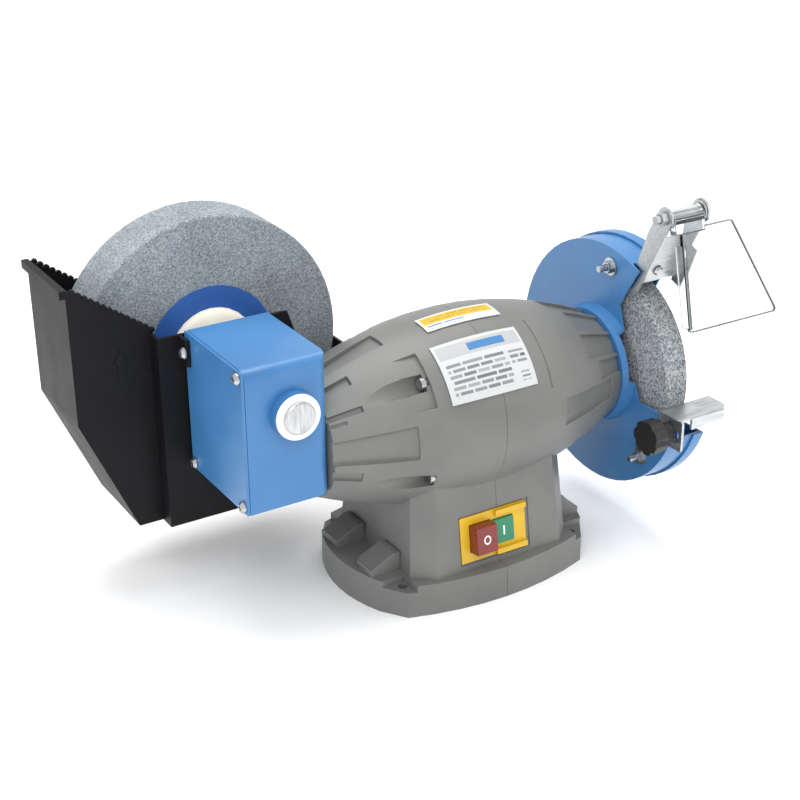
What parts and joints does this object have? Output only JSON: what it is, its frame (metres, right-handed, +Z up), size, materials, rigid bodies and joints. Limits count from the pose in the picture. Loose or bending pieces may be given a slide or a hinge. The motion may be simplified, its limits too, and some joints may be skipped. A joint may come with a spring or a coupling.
{
  "type": "bench grinder",
  "caption": "Wet and dry bench grinder: guarded fast dry wheel with tool rest and eye shield, worm-driven slow wet wheel in a water tray, motor on a pedestal",
  "frame": {"origin": "on the bench, under the middle of the housing, at the base plate's underside", "axes": "+X along the motor axis to the dry wheel, +Y to the back, +Z up"},
  "size_m": [0.4883, 0.2463, 0.2695],
  "materials": {
    "grey_paint": "satin paint on a light-alloy casting",
    "blue_paint": "semi-gloss paint",
    "black_plastic": "moulded, lightly grained",
    "white_plastic": "turned",
    "cream_plastic": "moulded",
    "yellow_plastic": "moulded",
    "red_plastic": "moulded",
    "green_plastic": "moulded",
    "bright_steel": "turned or plated",
    "galvanised_sheet": "zinc plated sheet",
    "laminated_iron": "stacked laminations",
    "bronze": "cut",
    "enamelled_copper": "varnished coils, as a solid ring",
    "cast_aluminium": "as cast",
    "grey_stone": "bonded abrasive grain",
    "clear_plastic": "clear polycarbonate",
    "label_paper": "printed film, blank",
    "blue_label": "blotting-paper disc, blank"
  },
  "bodies": {
    "stand": {"housing_left": "grey_paint", "housing_right": "grey_paint", "base_plate": "galvanised_sheet", "stator_core": "laminated_iron", "winding_left": "enamelled_copper", "winding_right": "enamelled_copper", "bearing_left": "bright_steel", "bearing_right": "bright_steel", "housing_screw_1": "bright_steel", "housing_screw_2": "bright_steel", "housing_screw_3": "bright_steel", "housing_screw_4": "bright_steel", "nameplate": "label_paper", "warning_label": "label_paper", "gearbox_housing": "blue_paint", "gearbox_cover": "blue_paint", "gearbox_screw_1": "bright_steel", "gearbox_screw_2": "bright_steel", "gearbox_screw_3": "bright_steel", "gearbox_screw_4": "bright_steel", "tray_screw": "bright_steel", "front_bush": "white_plastic", "rear_bush": "white_plastic", "water_tray": "black_plastic", "guard_shell": "blue_paint", "guard_cover": "blue_paint", "guard_bolt_1": "bright_steel", "guard_bolt_2": "bright_steel", "guard_bolt_3": "bright_steel", "guard_nut_1": "bright_steel", "guard_nut_2": "bright_steel", "guard_nut_3": "bright_steel", "rest_bolt": "bright_steel", "shield_bracket": "galvanised_sheet", "bracket_screw": "bright_steel", "pivot_bolt": "bright_steel", "pivot_nut": "bright_steel", "switch_bezel": "yellow_plastic", "switch_body": "black_plastic", "capacitor": "cast_aluminium", "cable_gland": "black_plastic"},
    "rotor": {"motor_shaft": "bright_steel", "rotor_core": "cast_aluminium", "worm": "bronze", "dry_wheel": "grey_stone", "dry_flange_inner": "bright_steel", "dry_flange_outer": "bright_steel", "dry_nut": "bright_steel"},
    "wet_spindle": {"output_shaft": "bright_steel", "worm_wheel": "bronze", "wet_wheel": "grey_stone", "wheel_label": "blue_label", "wet_flange_front": "cream_plastic", "wet_flange_rear": "bright_steel", "wet_nut": "bright_steel"},
    "shield": {"eye_shield": "clear_plastic"},
    "rest": {"tool_rest": "galvanised_sheet"},
    "knob": {"rest_knob": "black_plastic"},
    "stop": {"stop_button": "red_plastic"},
    "start": {"start_button": "green_plastic"}
  },
  "joints": [
    {"name": "wet_spin", "type": "hinge", "parent": "stand", "child": "wet_spindle", "pos_m": [-0.149, 0.1, 0.1695], "axis": [0, 1, 0], "continuous": true},
    {"name": "rotor_spin", "type": "hinge", "parent": "stand", "child": "rotor", "pos_m": [0, 0, 0.1285], "axis": [1, 0, 0], "continuous": true},
    {"name": "shield_tilt", "type": "hinge", "parent": "stand", "child": "shield", "pos_m": [0.15, -0.0635, 0.26], "axis": [-1, 0, 0], "range_deg": [-5, 75]},
    {"name": "rest_slide", "type": "slide", "parent": "stand", "child": "rest", "axis": [0, 1, 0], "range_m": [-0.007, 0.002]},
    {"name": "knob_turn", "type": "hinge", "parent": "stand", "child": "knob", "pos_m": [0.12, -0.08976, 0.106], "axis": [1, 0, 0], "range_deg": [-360, 0]},
    {"name": "stop_press", "type": "slide", "parent": "stand", "child": "stop", "axis": [0, 0.9905, -0.1376], "range_m": [0, 0.003], "stiffness_N_per_m": 400, "springref_m": -0.001},
    {"name": "start_press", "type": "slide", "parent": "stand", "child": "start", "axis": [0, 0.9905, -0.1376], "range_m": [0, 0.003], "stiffness_N_per_m": 400, "springref_m": -0.001}
  ],
  "couplings": [
    {"joint": "rotor_spin", "follows": "wet_spin", "ratio": 22}
  ]
}
